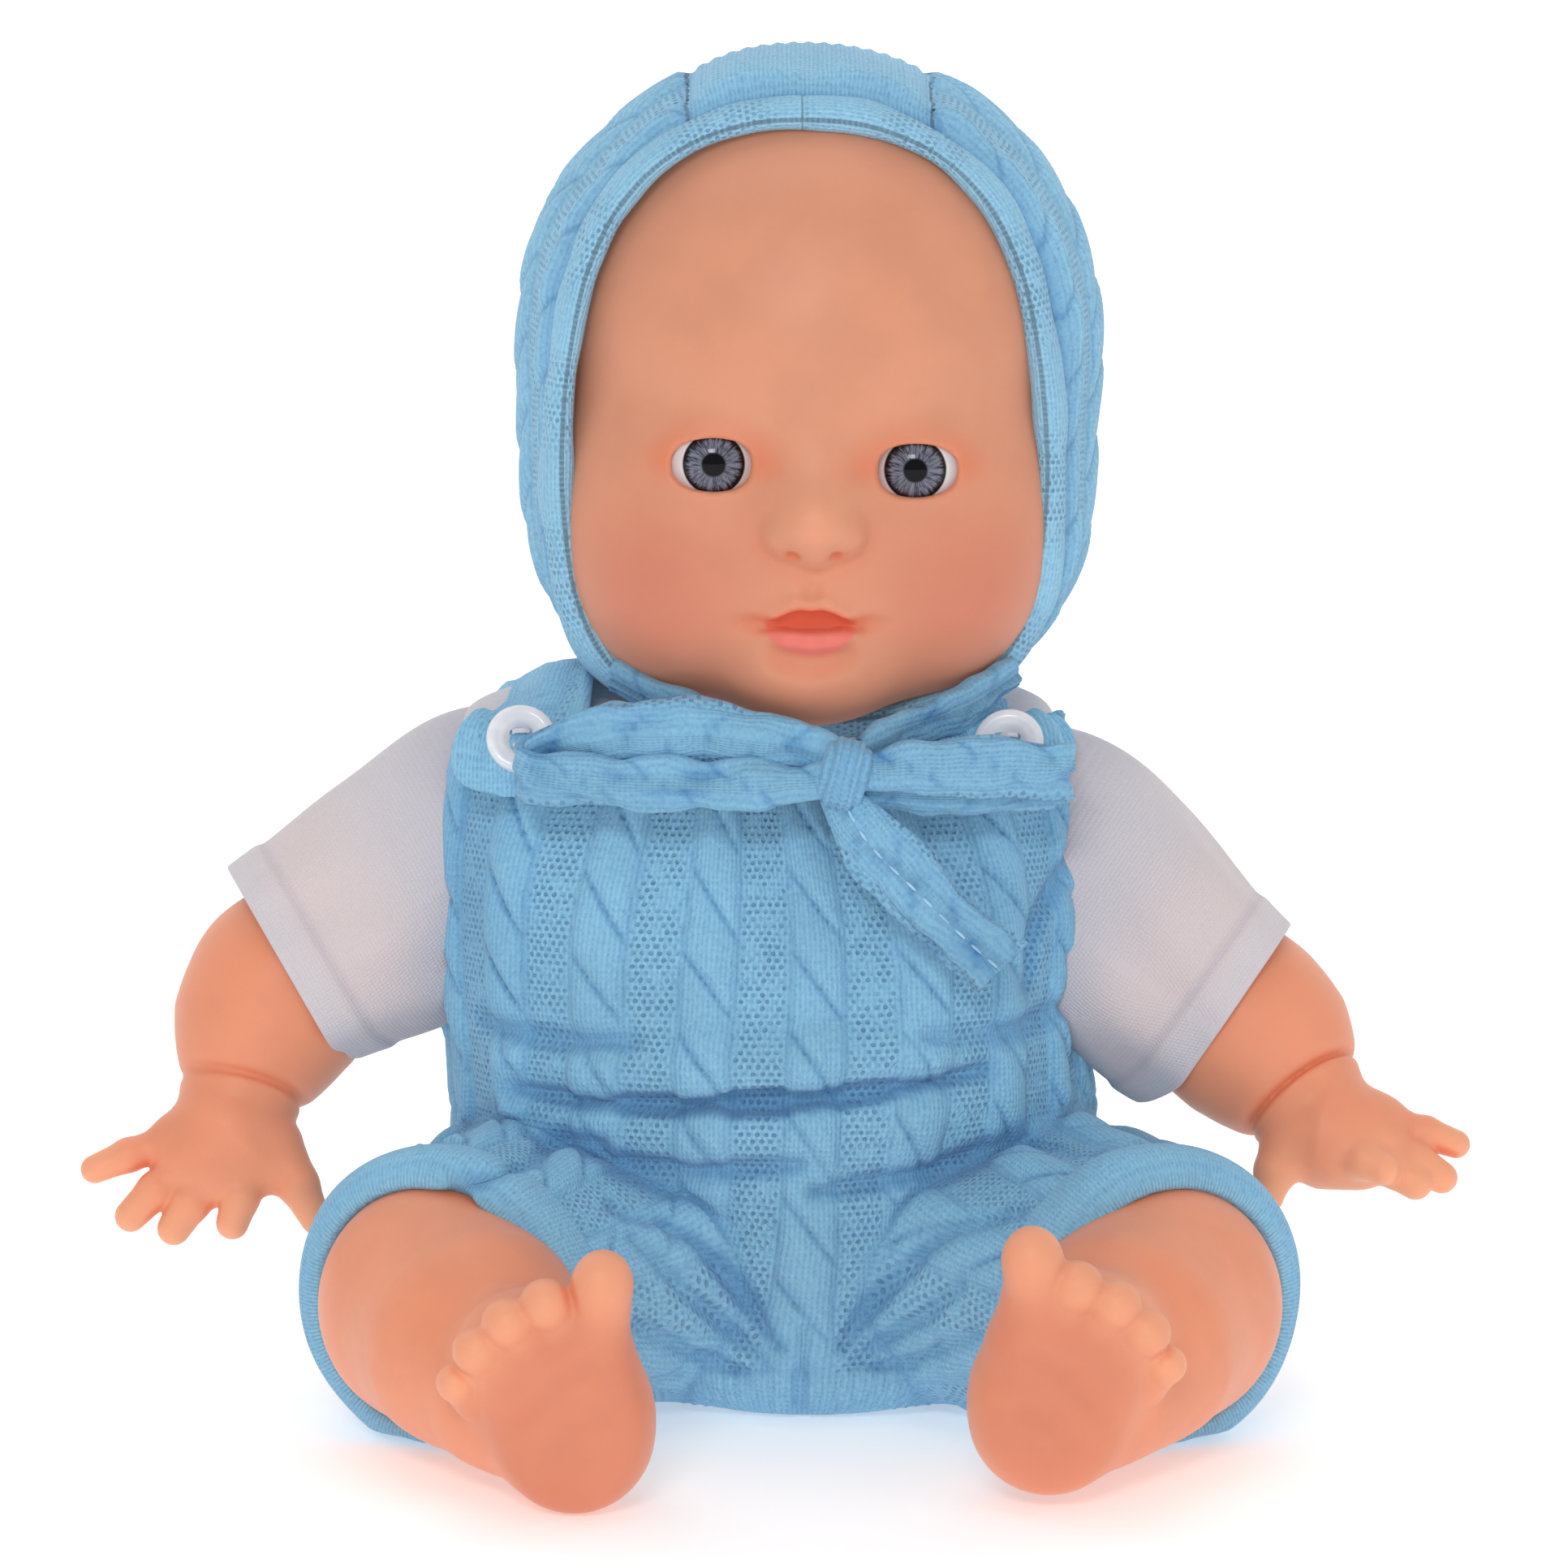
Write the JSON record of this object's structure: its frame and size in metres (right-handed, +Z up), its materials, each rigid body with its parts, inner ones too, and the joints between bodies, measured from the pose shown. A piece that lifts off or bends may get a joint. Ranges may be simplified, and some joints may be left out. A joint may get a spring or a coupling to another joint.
{
  "type": "seated soft-bodied baby doll with sound module",
  "caption": "Seated soft-bodied baby doll with vinyl head, arms and legs, in a blue cable-knit romper and bonnet over a white shirt, with a press-button sound module inside.",
  "frame": {"origin": "Middle of the flat seat under the torso, on the surface the doll sits on.", "axes": "+Z up, the doll faces -Y, +X to its own left as seen facing it."},
  "size_m": [0.202, 0.135, 0.196],
  "materials": {
    "vinyl_skin": "satin moulded vinyl, peach skin tone",
    "eye_white": "gloss white acrylic",
    "iris": "printed grey iris with black pupil",
    "clear_acrylic": "clear polished acrylic",
    "blue_knit": "light blue cable-knit cotton",
    "white_jersey": "thin white cotton jersey",
    "white_button": "gloss white polyester",
    "body_cloth": "woven cream-pink cotton",
    "nylon_tie": "natural nylon",
    "module_plastic": "fine-textured white ABS",
    "button_plastic": "smooth red ABS",
    "plated_steel": "zinc-plated steel",
    "battery_jacket": "gloss printed jacket, plain green",
    "circuit_board": "green solder mask",
    "switch_black": "black nylon",
    "speaker_paper": "pressed black paper cone"
  },
  "bodies": {
    "torso": {"stuffed_body": "body_cloth", "shirt_body": "white_jersey", "shirt_collar": "white_jersey", "neck_tie": "nylon_tie", "romper_front_panel": "blue_knit", "romper_back_panel": "blue_knit", "romper_strap_left": "blue_knit", "romper_strap_right": "blue_knit", "strap_button_left": "white_button", "strap_button_right": "white_button", "crotch_placket": "blue_knit", "bow_knot": "blue_knit", "bow_loop_left": "blue_knit", "bow_loop_right": "blue_knit", "bow_tail": "blue_knit", "pocket_hook_strip": "body_cloth", "pocket_loop_strip": "body_cloth", "module_front_case": "module_plastic", "module_rear_case": "module_plastic", "battery_door": "module_plastic", "door_screw": "plated_steel", "case_screws": "plated_steel", "batteries": "battery_jacket", "battery_contacts": "plated_steel", "circuit_board": "circuit_board", "press_switch": "switch_black", "speaker_frame": "plated_steel", "speaker_cone": "speaker_paper", "speaker_magnet": "plated_steel", "button_spring": "plated_steel"},
    "head": {"head_shell": "vinyl_skin", "eye_white_left": "eye_white", "eye_white_right": "eye_white", "iris_left": "iris", "iris_right": "iris", "eye_lens_left": "clear_acrylic", "eye_lens_right": "clear_acrylic", "bonnet_centre_panel": "blue_knit", "bonnet_side_panel_left": "blue_knit", "bonnet_side_panel_right": "blue_knit", "bonnet_face_band": "blue_knit", "bonnet_tie_left": "blue_knit", "bonnet_tie_right": "blue_knit"},
    "module_button": {"press_button": "button_plastic"},
    "upper_arm_left": {"sleeve_left": "white_jersey", "upper_arm_cushion_left": "body_cloth", "arm_tie_left": "nylon_tie"},
    "arm_left": {"vinyl_arm_left": "vinyl_skin"},
    "thigh_left": {"leg_cuff_left": "blue_knit", "thigh_cushion_left": "body_cloth", "leg_tie_left": "nylon_tie"},
    "leg_left": {"vinyl_leg_left": "vinyl_skin"},
    "upper_arm_right": {"sleeve_right": "white_jersey", "upper_arm_cushion_right": "body_cloth", "arm_tie_right": "nylon_tie"},
    "arm_right": {"vinyl_arm_right": "vinyl_skin"},
    "thigh_right": {"leg_cuff_right": "blue_knit", "thigh_cushion_right": "body_cloth", "leg_tie_right": "nylon_tie"},
    "leg_right": {"vinyl_leg_right": "vinyl_skin"}
  },
  "joints": [
    {"name": "head_turn", "type": "hinge", "parent": "torso", "child": "head", "pos_m": [-0.001, 0.002, 0.092], "axis": [0, 0, 1], "range_deg": [-30, 30], "deforming": ["bonnet_tie_left", "bonnet_tie_right"]},
    {"name": "button_press", "type": "slide", "parent": "torso", "child": "module_button", "axis": [0, 1, 0], "range_m": [0, 0.002], "stiffness_N_per_m": 250, "springref_m": -0.001, "deforming": ["button_spring"]},
    {"name": "arm_swing_left", "type": "hinge", "parent": "torso", "child": "upper_arm_left", "pos_m": [-0.05, 0, 0.079], "axis": [-1, 0, 0], "range_deg": [-40, 140]},
    {"name": "arm_twist_left", "type": "hinge", "parent": "upper_arm_left", "child": "arm_left", "pos_m": [-0.0735, -0.004, 0.066], "axis": [-0.8655, -0.1473, -0.4788], "range_deg": [-30, 30]},
    {"name": "arm_swing_right", "type": "hinge", "parent": "torso", "child": "upper_arm_right", "pos_m": [0.0386, 0, 0.075], "axis": [-1, 0, 0], "range_deg": [-40, 140]},
    {"name": "arm_twist_right", "type": "hinge", "parent": "upper_arm_right", "child": "arm_right", "pos_m": [0.0615, -0.004, 0.0585], "axis": [0.8033, -0.1403, -0.5788], "range_deg": [-30, 30]},
    {"name": "leg_swing_left", "type": "hinge", "parent": "torso", "child": "thigh_left", "pos_m": [-0.03, 0, 0.0202], "axis": [1, 0, 0], "range_deg": [0, 80]},
    {"name": "leg_twist_left", "type": "hinge", "parent": "thigh_left", "child": "leg_left", "pos_m": [-0.046, -0.049, 0.0202], "axis": [-0.4258, -0.9048, 0], "range_deg": [-25, 25]},
    {"name": "leg_swing_right", "type": "hinge", "parent": "torso", "child": "thigh_right", "pos_m": [0.03, 0, 0.0202], "axis": [1, 0, 0], "range_deg": [0, 80]},
    {"name": "leg_twist_right", "type": "hinge", "parent": "thigh_right", "child": "leg_right", "pos_m": [0.046, -0.049, 0.0202], "axis": [0.4258, -0.9048, 0], "range_deg": [-25, 25]}
  ]
}
